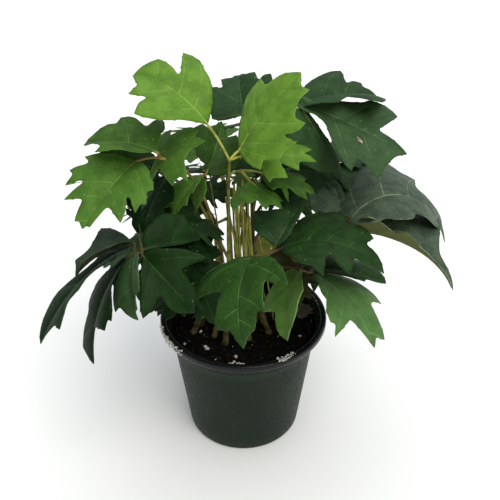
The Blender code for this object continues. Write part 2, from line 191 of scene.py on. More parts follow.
# Margins of half a leaflet by rule, in shares of the length: lobe tips, and the notches after them
halves = {
    "even": ((.22, .46), (.54, .57), (.83, .34)),
    "broad": ((.10, .52), (.52, .63), (.82, .38)),
    "narrow": ((.26, .30), (.60, .40), (.86, .25)),
    "curled": ((.25, .15), (.55, .20), (.84, .14)),
}
notchRule = ((.12, .78), (-.07, .50), (-.05, .46))   # past the lobe tip, share of its width
growth = {
    # a lobe's tip is sharp from sharpFrom degrees of turn, its side turns in by the shoulder, and a turn below
    # notchFrom radians is a notch; curve handles in shares
    "sharpFrom": 38, "shoulder": 10, "notchFrom": -0.5, "handle": 0.36, "notchHandle": 0.22,
    # a lobe with a vein is this far out, and lobeGap from the last, in shares of the arc
    "lobeFrom": 0.10, "lobeGap": 0.13,
    # teeth on stretches longer than toothFrom, steps along the margin and between inner points, mm
    "tooth": 0.45, "toothFrom": 7.5, "toothAt": 0.52, "sampling": 1.4, "gridStep": 2.1, "rowStep": 0.87,
    # mm without inner points at the margin and at a vein
    "edgeGap": 0.8, "veinGap": 0.5,
    # half widths at base and tip for a 50 mm leaflet, where veins end, how far back from its lobe one starts
    "midrib": (0.42, 0.10), "sideVein": (0.20, 0.07), "midribTo": 0.97, "sideVeinTo": 0.94, "veinSlant": 0.62,
    # thickness and relief, mm
    "thickness": 0.35, "quilting": 0.55, "quiltReach": 2.0, "ruffle": 1.1, "edgeDroop": 0.45,
}


def marginOf(margin, rng):
    # a margin of the table in shares, or one by rule with its lobes varied
    if not isinstance(margin, str):
        return [(u / 100, v / 100) for u, v in zip(margin[::2], margin[1::2])]
    lobes = halves[margin]
    u, v = lobes[0]
    marks = [(0.2 * u, 0.6 * v)]
    for k, ((u, v), (past, share)) in enumerate(zip(lobes, notchRule)):
        u, v = u + rng.uniform(-.03, .03), v * rng.uniform(.92, 1.08)
        after = lobes[k + 1] if k < 2 else (1.0, 0.0)
        notch = (u + past, v * share)
        marks += [(u, v), notch, ((notch[0] + after[0]) / 2, (notch[1] + after[1]) / 2 + .055)]
    return marks


def turned(v, degrees):
    a = radians(degrees)
    return Vector((v.x * cos(a) - v.y * sin(a), v.x * sin(a) + v.y * cos(a)))


def halfMargin(marks, arc, side):
    # From base to tip, sharp where the margin turns in at a lobe's tip and rounded elsewhere.
    # side is 1 right, -1 left. Gives the points and the lobe tips.
    stops = [Vector((u * arc, side * v * arc)) for u, v in [(0.0, 0.0)] + marks + [(1.0, 0.0)]]
    last = len(stops) - 1
    chords = [(stops[k + 1] - stops[k]).normalized() for k in range(last)]
    turns = [0.0] + [side * chords[k].angle_signed(chords[k - 1], 0.0) * -1 for k in range(1, last)] + [0.0]
    sharp = [t > radians(growth["sharpFrom"]) for t in turns]
    points, tips = [], []
    for k in range(last):
        a, b = stops[k], stops[k + 1]
        reach = (b - a).length
        leave = chords[k] if k == 0 or sharp[k] else (b - stops[k - 1]).normalized()
        arrive = chords[k] if k + 1 == last else (stops[k + 2] - a).normalized()
        if k + 1 == last or sharp[k + 1]:
            arrive = turned(chords[k], -side * growth["shoulder"])
        tight = [growth["notchHandle" if turns[n] < growth["notchFrom"] else "handle"] for n in (k, k + 1)]
        start, end = a + leave * tight[0] * reach, b - arrive * tight[1] * reach
        steps = max(3, int(reach / growth["sampling"]))
        run = [cubic(a, start, end, b, s / steps) for s in range(steps)]
        if reach > growth["toothFrom"] and steps > 4:
            at = int(len(run) * growth["toothAt"])
            way = (run[at + 1] - run[at - 1]).normalized()
            run[at] = run[at] + Vector((-way.y, way.x)) * side * growth["tooth"] + way * growth["tooth"] * 0.9
        points += run
        if sharp[k] and abs(a.y) > growth["lobeFrom"] * arc:
            if not tips or (tips[-1] - a).length > growth["lobeGap"] * arc:
                tips.append(a)
    return points, tips


def insidePolygon(px, py, ring):
    inside = np.zeros(len(px), bool)
    for (x1, y1), (x2, y2) in zip(ring, np.roll(ring, -1, 0)):
        if y1 != y2:
            inside ^= ((y1 > py) != (y2 > py)) & (px < (x2 - x1) * (py - y1) / (y2 - y1) + x1)
    return inside


def nearest(points, segments):
    # distance to the nearest segment, and which one it is
    a, b = segments[:, 0], segments[:, 1]
    d = b - a
    w = points[:, None, :] - a[None]
    t = np.clip((w * d[None]).sum(2) / np.maximum((d * d).sum(1), 1e-9)[None], 0, 1)
    gap = np.sqrt(((w - d[None] * t[..., None]) ** 2).sum(2))
    best = gap.argmin(1)
    return gap[np.arange(len(points)), best], best


def axesOf(spec):
    along = direction(spec["heading"], spec["pitch"])
    level = along.cross(zUp).normalized()
    out = level.cross(along)
    roll = radians(spec["roll"])
    return along, level * cos(roll) - out * sin(roll), out * cos(roll) + level * sin(roll)


def bladeSurface(spec, x, y, lift):
    # Flat leaf places (mm from the base, along and across) to places in the frame
    along, right, out = (np.array(v) for v in axesOf(spec))
    bend, arc = radians(spec["droop"]), spec["arc"]
    u = np.linspace(-0.5, 1.15, 100)
    angle = bend / 2 - bend * np.where(u > 0, np.maximum(u, 1e-6) ** spec["late"], u)
    step = (u[1] - u[0]) * arc
    forward = np.cumsum(np.cos(angle)) * step
    rise = np.cumsum(np.sin(angle)) * step
    forward -= np.interp(0, u, forward)
    rise -= np.interp(0, u, rise)
    forward, rise, angle = (np.interp(x / arc, u, table) for table in (forward, rise, angle))
    normal = out[None] * np.cos(angle)[:, None] - along[None] * np.sin(angle)[:, None]
    twist = radians(spec["twist"]) * (x / arc)[:, None]
    across = right[None] * np.cos(twist) - normal * np.sin(twist)
    normal = normal * np.cos(twist) + right[None] * np.sin(twist)
    fold = radians(spec["fold"])
    height = np.abs(y) * sin(fold) - growth["edgeDroop"] * y * y / arc + lift
    return (np.array(spec["base"])[None] + along[None] * forward[:, None] + out[None] * rise[:, None]
            + across * (y * cos(fold))[:, None] + normal * height[:, None], normal)


def blade(base, heading, pitch, roll, length, droop, fold, right="even", left="even", tint=None, twist=0,
          late=1):
    # late above 1 bends the far half more; the arc is the length along the bent midrib
    bend = radians(droop)
    arc = length * (bend / 2) / sin(bend / 2)
    return dict(base=base, heading=heading, pitch=pitch, roll=roll, droop=droop, fold=fold, right=right,
                left=left, tint=tint, twist=twist, late=late, length=length, arc=arc)


def strip(line, wide, narrow):
    # outline of a vein: out along one side, back along the other, ending in a point
    n = len(line) - 1
    one, other = [], []
    for k in range(n):
        way = (line[k + 1] - line[max(k - 1, 0)]).normalized()
        off = Vector((-way.y, way.x)) * (wide + (narrow - wide) * k / n)
        one.append(line[k] + off)
        other.append(line[k] - off)
    return one + [line[n]] + other[::-1]


def veinLines(arc, tips, size):
    # each vein's line and its half widths at both ends
    lines = [([Vector((arc * growth["midribTo"] * k / 16, 0.0)) for k in range(17)], *growth["midrib"])]
    for tip in tips:
        out, side = abs(tip.y), 1 if tip.y > 0 else -1
        start = Vector((max(0.03 * arc, tip.x - growth["veinSlant"] * out), 0.0))
        bendAt = start.lerp(tip, 0.5) + Vector((-0.05 * out, side * 0.10 * out))
        end, steps = start.lerp(tip, growth["sideVeinTo"]), max(4, int((tip - start).length / 2.2))
        lines.append((arch(start, bendAt, end, steps), *growth["sideVein"]))
    return [(line, wide * size, narrow * size) for line, wide, narrow in lines]


def leafletMesh(spec, rng, points, faces, slots, flats):
    arc = spec["arc"]
    rightSide, rightTips = halfMargin(marginOf(spec["right"], rng), arc, 1)
    leftSide, leftTips = halfMargin(marginOf(spec["left"], rng), arc, -1)
    ring = rightSide + [Vector((arc, 0.0))] + leftSide[:0:-1]
    ringArray = np.array([tuple(p) for p in ring])
    lines = veinLines(arc, rightTips + leftTips, sqrt(spec["length"] / 50))
    segments, widths = [], []
    for line, wide, narrow in lines:
        for k in range(len(line) - 1):
            segments.append((tuple(line[k]), tuple(line[k + 1])))
            widths.append(wide + (narrow - wide) * (k + 0.5) / (len(line) - 1))
    segments, widths = np.array(segments), np.array(widths)
    low, high = ringArray.min(0), ringArray.max(0)
    step, rowStep = growth["gridStep"], growth["gridStep"] * growth["rowStep"]
    grid = []
    for row in range(int((high[1] - low[1]) / rowStep) + 1):
        for col in range(int((high[0] - low[0]) / step) + 2):
            x = low[0] + (col + 0.5 * (row % 2)) * step + rng.uniform(-.25, .25)
            grid.append((x, low[1] + row * rowStep + rng.uniform(-.25, .25)))
    grid = np.array(grid)
    edgeSegments = np.stack([ringArray, np.roll(ringArray, -1, 0)], 1)
    grid = grid[insidePolygon(grid[:, 0], grid[:, 1], ringArray)]
    gapEdge, _ = nearest(grid, edgeSegments)
    gapVein, which = nearest(grid, segments)
    grid = grid[(gapEdge > growth["edgeGap"]) & (gapVein > widths[which] + growth["veinGap"])]
    coords = [Vector(p) for p in ring] + [Vector(p) for p in grid.tolist()]
    edges = []
    for line, wide, narrow in lines:
        outline = strip(line, wide, narrow)
        first = len(coords)
        coords += outline
        edges += [(first + k, first + k + 1) for k in range(len(outline) - 1)]
    found = delaunay_2d_cdt(coords, edges, [list(range(len(ring)))], 1, 1e-4)
    flat = np.array([tuple(p) for p in found[0]])
    triangles = np.array(found[2])
    gap, which = nearest(flat[triangles].mean(1), segments)
    isVein = gap < widths[which]
    gapVein, _ = nearest(flat, segments)
    x, y = flat[:, 0], flat[:, 1]
    waves = [(rng.uniform(.10, .22), rng.uniform(-.2, .2), rng.uniform(0, 6.3)) for k in range(3)]
    ripple = sum(np.sin(a * x + b * y + c) for a, b, c in waves) / 3
    lift = growth["quilting"] * (1 - np.exp(-gapVein / growth["quiltReach"])) - 0.25
    lift += growth["ruffle"] * ripple * np.clip(np.abs(y) / (0.35 * arc), 0, 1) ** 1.5
    place, normal = bladeSurface(spec, x, y, lift)
    first, n = len(points), len(flat)
    points += place.tolist()
    points += (place - normal * growth["thickness"]).tolist()
    top = triangles[:, ::-1]
    shade = tintIndex[spec["tint"]]
    faces += (top + first).tolist() + (triangles + first + n).tolist()
    slots += (shade + isVein.astype(int)).tolist() + [shade + 2] * len(top)
    flats += [False] * 2 * len(top)
    directed = {(a, b) for t in top.tolist() for a, b in ((t[0], t[1]), (t[1], t[2]), (t[2], t[0]))}
    # the rim faces round each leaflet take the paler vein colour: partly a pale leaf margin, partly a painted
    # highlight along the edge
    for a, b in directed:
        if (b, a) not in directed:
            faces.append((b + first, a + first, a + first + n, b + first + n))
            slots.append(shade + 1)
            flats.append(True)


def ringOf(radius, height, sides):
    turns = [2 * pi * s / sides for s in range(sides)]
    return [(radius * cos(a), radius * sin(a), height) for a in turns]


def bridge(faces, a, b, sides):
    # faces between two rings of points
    for s in range(sides):
        t = (s + 1) % sides
        faces.append((a + s, a + t, b + t, b + s))


def tube(line, radii, sides, points, faces, relief=0.0, seed=0):
    # a closed round rod along the line, with ribs and knots when it has relief
    n = len(line)
    ways = [(line[min(k + 1, n - 1)] - line[max(k - 1, 0)]).normalized() for k in range(n)]
    side = ways[0].orthogonal().normalized()
    first = len(points)
    for k, (centre, way, radius) in enumerate(zip(line, ways, radii)):
        side = (side - way * side.dot(way)).normalized()
        other = way.cross(side)
        for s in range(sides):
            a = 2 * pi * s / sides
            r = radius
            if relief:
                knots = noise.noise(Vector((cos(a) * 1.3, sin(a) * 1.3, k * 0.6 + seed * 7.1)))
                r *= 1 + relief * (0.5 * sin(5 * a + 0.3 * k) + knots)
            points.append(tuple(centre + (side * cos(a) + other * sin(a)) * r))
    for k in range(n - 1):
        bridge(faces, first + k * sides, first + (k + 1) * sides, sides)
    faces.append(tuple(first + s for s in range(sides))[::-1])
    faces.append(tuple(first + (n - 1) * sides + s for s in range(sides)))


# The eleven shoots. foot and tip are distances from the clump's middle along the heading; height is where the
# bare part ends. A leaf is where its petiole ends, its share along the stem, a tint and its leaflets: base,
# heading, pitch, roll, length, droop, fold, right and left margin. A margin is a name from halves, or places
# along and across by turns in hundredths of the length. A spread leaf follows the rule in spread.
footHeight = 84.3
clump = Vector((-3.0, 0.0, 0.0))
spread = {
    "pitch": -8, "level": 200, "sink": 0.32,    # degrees, and how many more for each mm under the level
    "apart": 66, "rise": 22, "droop": 30, "fold": 12,
    # turn, share of the length, stalk in mm and both margins
    "leaflets": ((0, 1, 9, "even", "even"), (1, 0.86, 4, "narrow", "broad"), (-1, 0.86, 4, "broad", "narrow")),
}


def spreadLeaf(heading, distance, height, length, seed, share, tint):
    at = clump + zUp * height + direction(heading, 0) * distance
    pitch = spread["pitch"] - spread["sink"] * max(spread["level"] - height, 0)
    rng = random.Random(seed)
    blades = []
    for turn, part, stalk, right, left in spread["leaflets"]:
        way = heading + turn * (spread["apart"] + rng.uniform(-8, 8))
        fall = pitch - abs(turn) * rng.uniform(2, 12)
        base = at + direction(way, fall + spread["rise"]) * stalk
        roll = turn * rng.uniform(2, 12)
        droop, fold = spread["droop"] + rng.uniform(-8, 8), spread["fold"] + rng.uniform(-6, 6)
        blades.append(blade(tuple(base), way, fall, roll, part * length, droop, fold, right, left))
    return leaf(tuple(at), share, tint, blades)


def leaf(at, share, tint, blades):
    return dict(at=at, share=share, tint=tint, blades=blades)


def shoot(heading, foot, tip, height, radius, bark, leaves, bend=None):
    return dict(heading=heading, foot=foot, tip=tip, height=height, radius=radius, bark=bark, leaves=leaves,
                bend=bend)


shoots = {
    "lime": shoot(250, 27, 17, 150, 1.9, "olive", [
        leaf((-7, -30, 218), 1, "lime", [
            blade((-18, -31, 239), 152, 25, -17, 50, 68, 18, [8, 11, 19, 25, 31, 37, 41, 43, 53, 52, 73, 51,
              65, 37, 56, 19, 67, 23, 87, 27, 94, 15, 97, 10], [21, 28, 29, 41, 40, 51, 55, 56, 59, 43, 59, 32,
              74, 39, 76, 23, 88, 13]),
            blade((-2, -28, 223), 17, 49, 9, 53, 26, 6, [-2, 21, 2, 43, 11, 41, 23, 55, 34, 55, 46, 59, 44, 44,
              52, 50, 66, 53, 64, 40, 79, 31, 92, 29, 90, 18], [16, 17, 33, 34, 53, 54, 70, 55, 69, 29, 85, 20,
              95, 8]),
            blade((9, -21, 218), 346, -2, 16, 33, 30, 4, [10, 30, 32, 61, 37, 54, 61, 48, 44, 23, 60, 29,
              76, 30, 74, 13], [10, 20, 30, 45, 38, 38, 65, 60, 54, 33, 70, 35, 87, 28, 76, 14])]),
        leaf((-1, -22, 208), 0.82, "mid", [
            blade((4, -28, 205), 314, -18, -5, 27, 8, -14, [2, 30, 7, 57, 35, 70, 32, 47, 48, 38, 50, 26,
              81, 26, 77, 12], [10, 30, 29, 54, 42, 46, 70, 42, 81, 14]),
            blade((12, -18, 205), 356, -22, 5, 33, 26, 8),
            blade((1, -14, 204), 106, -60, 2, 16, 30, 4)])]),
    "left_light": shoot(190, 27, 14, 140, 1.6, "orange", [
        leaf((-44, -35, 222), 1, "light", [
            blade((-56, -41, 223), 227, -33, -13, 46, 33, 17, [2, 11, 10, 32, 20, 46, 29, 56, 34, 44, 45, 54,
              52, 58, 55, 50, 69, 50, 55, 33, 70, 36, 83, 40, 73, 19, 85, 15, 97, 12, 95, 7], [3, 19, 12, 36,
              23, 49, 29, 45, 42, 55, 45, 50, 56, 51, 45, 30, 60, 40, 73, 43, 66, 17, 80, 13, 94, 10, 95, 4]),
            blade((-44, -44, 229), 161, -2, -4, 44, 45, 24, [9, 26, 10, 43, 26, 72, 28, 50, 30, 36, 41, 43,
              51, 50, 68, 50, 67, 34, 78, 34, 89, 17], [12, 26, 32, 39, 54, 50, 54, 36, 75, 20], "mid"),
            blade((-47, -24, 220), 335, 22, 39, 33, 17, 5, [-1, 22, -14, 34, -12, 47, 2, 39, 12, 33, 23, 50,
              36, 64, 46, 57, 55, 54, 69, 64, 67, 46, 63, 28, 73, 13], [-5, 25, -10, 42, 15, 47, 24, 30, 64, 33,
              82, 24, 79, 12], "light")]),
        leaf((-23, -18, 203), 0.6, "mid", [
            blade((-21, -21, 205), 72, 36, 40, 37, 40, 22, [10, 25, 20, 37, 35, 46, 58, 39, 80, 27, 72, 13,
              80, 8], [13, 8, 20, 30, 38, 42, 56, 48, 69, 35, 69, 21, 82, 12], "moss"),
            # this small blade lies in shade; its lighter tint is painted light
            blade((-23, -20, 204), 236, -69, 26, 22, 30, 9, [5, 18, 21, 30, 44, 40, 59, 37, 75, 14], [5, 26,
              27, 43, 55, 40, 66, 24, 80, 18], "light"),
            blade((-24, -20, 205), 225, -44, 14, 30, 36, 18, [14, 18, 30, 36, 48, 55, 75, 64, 70, 46, 88, 43,
              81, 20], [10, 18, 18, 27, 41, 30, 45, 22, 66, 30, 71, 14], "light")])], bend=(-19, -13, 205)),
    "left_mid": shoot(226, 24, 16, 142, 1.6, "brown", [
        leaf((-44, -14, 199), 1, "dark", [
            blade((-44, -17, 202), 234, -46, 23, 36, 21, 2, [2, 29, 14, 48, 26, 55, 38, 50, 55, 60, 60, 42,
              84, 24], [10, 27, 34, 43, 46, 34, 60, 42, 84, 34, 88, 12], "night"),
            blade((-48, -14, 204), 186, 26, -30, 37, 28, 10, "narrow", "even", "deep"),
            blade((-46, -6, 188), 330, -40, 30, 32, 28, 10, tint="ink"),
            blade((-45, -10, 199), 110, -30, 0, 26, 28, 10),
            blade((-33, 12, 180), 0, -6, 35, 30, 20, 8, "narrow", "narrow", "ink")]),
        leaf((-41, -30, 172), 0.4, "deep", [
            blade((-37, -32, 177), 22, -20, 5, 30, 28, 10, tint="ink"),
            blade((-38, -42, 172), 13, -22, 20, 28, 28, 10, [12, 18, 30, 30, 50, 34, 58, 24, 74, 28, 85, 18],
              "even", "night"),
            blade((-40, -36, 170), 230, -10, 0, 26, 28, 10, tint="night")]),
        spreadLeaf(192, 49, 153, 31, 71, 0.25, "dark")]),
    "left_low": shoot(203, 34, 24, 118, 2.0, "brown", [
        leaf((-59, -58, 177), 1, "grey", [
            blade((-59, -55, 179), 211, -30, 24, 72, 56, 10, [6, 18, 22, 19, 30, 10, 41, 10, 57, 18, 65, 23,
              78, 19, 92, 10], [6, 14, 20, 21, 32, 13, 42, 13, 50, 20, 61, 19, 77, 34, 79, 21, 86, 14], "slate",
              twist=-8, late=0.72),
            blade((-59, -55, 181), 205, -19, 14, 36, 48, 36, [9, 12, 19, 40, 35, 64, 47, 40, 60, 22, 71, 18,
              86, 20, 90, 10], [10, 16, 24, 34, 39, 50, 64, 30, 75, 30, 85, 14], "shade"),
            blade((-62, -60, 176), 237, -54, 39, 62, 47, 13, [14, 10, 30, 27, 46, 48, 52, 44, 60, 26, 75, 34,
              90, 40, 95, 15], [12, 12, 28, 19, 38, 39, 51, 50, 52, 44, 60, 46, 65, 17, 82, 6], "night")]),
        leaf((-54, -64, 180), 0.9, "deep", [
            blade((-53, -69, 182), 343, -49, 50, 43, 38, 31, [8, 8, 17, 21, 30, 34, 41, 48, 55, 58, 55, 41,
              50, 20, 64, 22, 76, 20, 87, 11], [4, 15, 15, 30, 24, 43, 38, 55, 53, 64, 48, 46, 44, 26, 60, 24,
              79, 18, 84, 9], "ink"),
            blade((-57, -67, 181), 275, -47, 58, 35, 44, 24, [12, 20, 39, 52, 44, 44, 60, 46, 80, 45, 76, 27,
              88, 16], [5, 22, 17, 42, 40, 50, 62, 49, 66, 34, 84, 24, 88, 10], "sea"),
            blade((-57, -45, 181), 113, 60, 0, 27, 28, 10, "curled", "curled", "slate"),
            blade((-54, -59, 179), 30, -7, 33, 35, 23, 34, [12, 3, 30, 6, 48, 8, 66, 8, 82, 5], [7, 28, 19, 38,
              35, 51, 50, 53, 62, 48, 77, 48, 80, 32, 92, 16], "ink")]),
        leaf((-28, -44, 146), 0.35, "deep", [
            blade((-31, -49, 149), 244, -14, 10, 28, 24, 8, tint="ink"),
            blade((-26, -39, 144), 301, -49, 13, 27, 32, 6, tint="ink"),
            blade((-40, -40, 160), 330, -50, 30, 28, 28, 10, tint="night"),
            blade((-34, -22, 153), 330, -35, 25, 27, 28, 10, tint="ink"),
            blade((-32, -44, 145), 205, -22, 0, 30, 28, 10)])]),
    "front": shoot(287, 22, 14, 138, 1.8, "red", [
        leaf((13, -56, 172), 1, "deep", [
            blade((5, -57, 173), 263, -32, 36, 53, 67, 13, [0, 10, 3, 26, 17, 44, 15, 74, 40, 61, 43, 22,
              60, 25, 79, 27, 82, 10], [10, 16, 15, 32, 26, 45, 37, 53, 49, 57, 47, 46, 42, 33, 55, 33, 71, 34,
              70, 27, 85, 20, 90, 10], "fern"),
            blade((20, -47, 171), 344, -5, -2, 60, 91, 14, [8, 14, 20, 32, 30, 43, 40, 47, 50, 54, 49, 29,
              60, 39, 69, 44, 69, 20, 80, 18], [4, 11, 11, 31, 22, 54, 37, 62, 57, 49, 54, 33, 66, 36, 80, 29,
              76, 14, 88, 10]),
            blade((18, -46, 172), 60, 20, 10, 42, 30, 15, [14, 10, 40, 11, 70, 9], [4, 15, 9, 32, 22, 45,
              39, 51, 46, 33, 58, 18, 78, 18, 94, 10], "pine")]),
        leaf((38, -46, 155), 0.8, "dark", [
            blade((41, -43, 153), 310, -27, -21, 56, 52, 11, [8, 12, 20, 23, 31, 32, 41, 34, 51, 48, 61, 50,
              65, 46, 75, 52, 67, 25, 69, 22, 85, 13], [10, 17, 23, 39, 41, 46, 63, 57, 60, 28, 76, 25, 97, 20,
              92, 7], "sage"),
            blade((32, -48, 158), 257, -29, 52, 44, 38, 20, [-4, 18, 8, 36, 26, 52, 53, 51, 61, 20, 82, 15],
              [12, 20, 27, 33, 49, 44, 61, 36, 80, 29, 93, 14], "olive"),
            blade((41, -41, 154), 354, -10, -5, 44, 31, 8, [11, 13, 28, 17, 43, 19, 67, 19, 70, 13, 85, 11],
              [15, 30, 40, 52, 60, 54, 72, 42, 85, 38, 95, 22], "pine")])], bend=(8, -44, 141)),
    "right": shoot(325, 25, 11, 142, 1.8, "red", [
        # the large right leaves: their grey tint carries painted sheen
        leaf((60, -25, 171), 1, "grey", [
            blade((61, -28, 176), 24, -9, -12, 77, 137, 2, [5, 12, 11, 19, 15, 20, 22, 25, 34, 25, 42, 20,
              55, 18, 72, 15, 86, 5], [0, 40, 11, 70, 20, 62, 28, 56, 18, 24, 32, 40, 44, 53, 48, 47, 44, 34,
              43, 28, 52, 40, 65, 54, 66, 40, 74, 38, 66, 17, 78, 13, 89, 14, 90, 5], twist=49, late=0.73),
            blade((64, -20, 169), 337, -33, -23, 73, 58, 38, [5, 25, 11, 40, 33, 15, 39, 27, 56, 8, 64, 6,
              68, 4], [10, 35, 30, 56, 42, 50, 62, 62, 72, 12], twist=10, late=1.84),
            blade((62, -18, 172), 107, 33, -9, 32, 33, 16, [23, 7, 50, 13, 73, 13, 92, 6], [12, 19, 20, 36,
              32, 48, 45, 57, 60, 59, 74, 54, 84, 42, 96, 20])]),
        leaf((34, -10, 138), 0.35, "deep", [
            blade((38, -4, 142), 338, -12, 6, 32, 24, 16),
            blade((22, -1, 147), 330, -48, 25, 29, 28, 10, tint="bronze"),
            blade((36, -7, 139), 40, -14, 0, 30, 28, 10),
            blade((34, -14, 137), 270, -40, 0, 24, 28, 10, tint="bronze")])], bend=(7, -4, 178)),
    "upper_right": shoot(15, 24, 9, 152, 1.8, "olive", [
        leaf((37, 10, 233), 1, "dark", [
            blade((39, 7, 236), 345, -22, 17, 64, 12, 12, [-15, 7, -4, 11, 9, 11, 20, 18, 28, 30, 39, 43,
              51, 53, 58, 55, 59, 42, 68, 44, 83, 50, 84, 36, 90, 15], [-16, 10, -8, 9, 2, 8, 12, 13, 23, 20,
              33, 26, 44, 35, 50, 44, 65, 51, 80, 41, 73, 22, 68, 9, 79, 7, 91, 4], "sea"),
            blade((34, 17, 233), 12, -2, 1, 54, 51, 24, [-3, 20, 8, 34, 19, 43, 31, 48, 38, 41, 47, 33, 54, 42,
              61, 54, 72, 54, 80, 44, 90, 20], [-6, 12, 10, 17, 18, 29, 38, 43, 63, 54, 60, 21, 70, 28, 79, 27,
              79, 17, 86, 14, 93, 6], "pine"),
            blade((35, 3, 235), 335, -58, 20, 47, 23, 1, [-8, 8, -3, 19, 8, 36, 30, 46, 52, 41, 65, 32, 81, 18,
              87, 6], [-7, 5, 16, 7, 38, 9, 60, 13, 78, 14, 90, 9])]),
        leaf((26, 9, 206), 0.45, "pine", [
            blade((35, 8, 233), 189, -62, -75, 28, 20, 8, "broad", "even", "pine"),
            blade((20, 8, 195), 2, -7, 35, 42, 28, 10),
            blade((14, 4, 196), 10, -52, 50, 36, 28, 10, tint="ink"),
            blade((14, 12, 197), 175, -2, -35, 24, 28, 10, "narrow", "even", "ink")]),
        spreadLeaf(32, 61, 188, 47, 73, 0.55, "dark")]),
    "top_back": shoot(95, 22, 10, 150, 1.7, "olive", [
        leaf((2, 22, 223), 1, "dark", [
            blade((1, 19, 226), 95, 25, -11, 36, 51, 29, [9, 30, 25, 50, 44, 66, 43, 42, 54, 36, 75, 33,
              80, 16], [-5, 34, -1, 58, 21, 58, 38, 54, 56, 53, 50, 32, 72, 33, 78, 14], "pine"),
            blade((-2, 22, 219), 131, -29, 0, 20, 28, 10),
            blade((4, 30, 222), 35, 54, 11, 29, 26, 5)]),
        # a small low leaf whose yellow tint carries painted back light
        leaf((11, 11, 149), 0.05, "yellow", [
            blade((12, 10, 146), 290, -65, 0, 18, 20, 8)]),
        spreadLeaf(82, 52, 182, 50, 17, 0.55, "mid")]),
    "back_right": shoot(50, 26, 13, 146, 1.8, "brown", [
        spreadLeaf(38, 67, 173, 50, 8, 1, "dark"),
        spreadLeaf(67, 73, 148, 51, 60, 0.6, "mid"),
        spreadLeaf(24, 51, 127, 42, 50, 0.3, "deep")]),
    "back": shoot(115, 27, 14, 144, 1.9, "olive", [
        spreadLeaf(104, 64, 187, 54, 57, 1, "mid"),
        spreadLeaf(106, 70, 161, 49, 29, 0.6, "dark"),
        spreadLeaf(130, 66, 101, 36, 37, 0.2, "deep")]),
    "back_left": shoot(152, 28, 13, 140, 1.8, "brown", [
        spreadLeaf(146, 56, 181, 44, 51, 1, "mid"),
        spreadLeaf(135, 64, 146, 42, 1, 0.6, "dark"),
        spreadLeaf(168, 51, 134, 38, 66, 0.3, "deep")]),
}

stemSkin = {"rough": (.45, .6), "grain": 0.8, "depth": 0.15, "specular": 0.2}
barks = {
    # young green stems and petioles: satin skin, olive
    "olive": makeMaterial("green_stem_olive", "#83863a", "#665f28", 5, **stemSkin),
    # petioles flushed orange by the light
    "orange": makeMaterial("green_stem_orange", "#9a8248", "#84743e", 6, **stemSkin),
    # reddish brown petioles
    "red": makeMaterial("green_stem_reddish", "#5f4c2b", "#4e4426", 6, **stemSkin),
    # older green stems, browned by the weather
    "brown": makeMaterial("green_stem_brown", "#564827", "#4a5028", 6, **stemSkin),
    # thin young stems that the light shines on: yellow green
    "pale": makeMaterial("green_stem_pale", "#b4b456", "#8e9040", 7, **dict(stemSkin, depth=0.1)),
    # older wood at the foot: dry, corky, dark
    "wood": makeMaterial("corky_bark_dark", "#686334", "#463a20", 4, (.7, .85), 0.7, 0.3, 0.2),
}


def limbLine(rows):
    foot = clump + direction(rows["heading"], 0) * rows["foot"] + zUp * footHeight
    tip = clump + direction(rows["heading"], 0) * rows["tip"] + zUp * rows["height"]
    bend = Vector((tip.x, tip.y, foot.z + 0.5 * (tip.z - foot.z)))
    return arch(foot, bend, tip, limb["steps"])


# Bare shoots: flared at the foot, swollen at the leaf scars and woody up to a height in mm
limb = {"steps": 30, "taper": 0.25, "flare": 0.35, "scar": 1.28, "woodTo": 100}
for name, rows in shoots.items():
    radii = []
    for k in range(limb["steps"] + 1):
        flare = 1 + limb["flare"] * max(0, 1 - k / 2.5)
        r = rows["radius"] * (1 - limb["taper"] * k / limb["steps"]) * flare
        radii.append(r * limb["scar"] if k % 9 == 6 else r)
    points, faces = [], []
    tube(limbLine(rows), radii, 14, points, faces, relief=0.10, seed=rows["heading"])
    slots = [0 if min(points[v][2] for v in f) < limb["woodTo"] else 1 for f in faces]
    piece = addMesh("shoot_" + name, points, faces, [barks["wood"], barks[rows["bark"]]], slots)
    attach(piece, "root")
    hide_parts("stem_" + name)
print("scene: shoots done")


def addLeaves(name, points, faces, slots, flats):
    # leaflets with only the materials that they use
    used = sorted(set(slots))
    order = {slot: k for k, slot in enumerate(used)}
    return addMesh(name, points, faces, [leafSlots[k] for k in used], [order[k] for k in slots], flats)


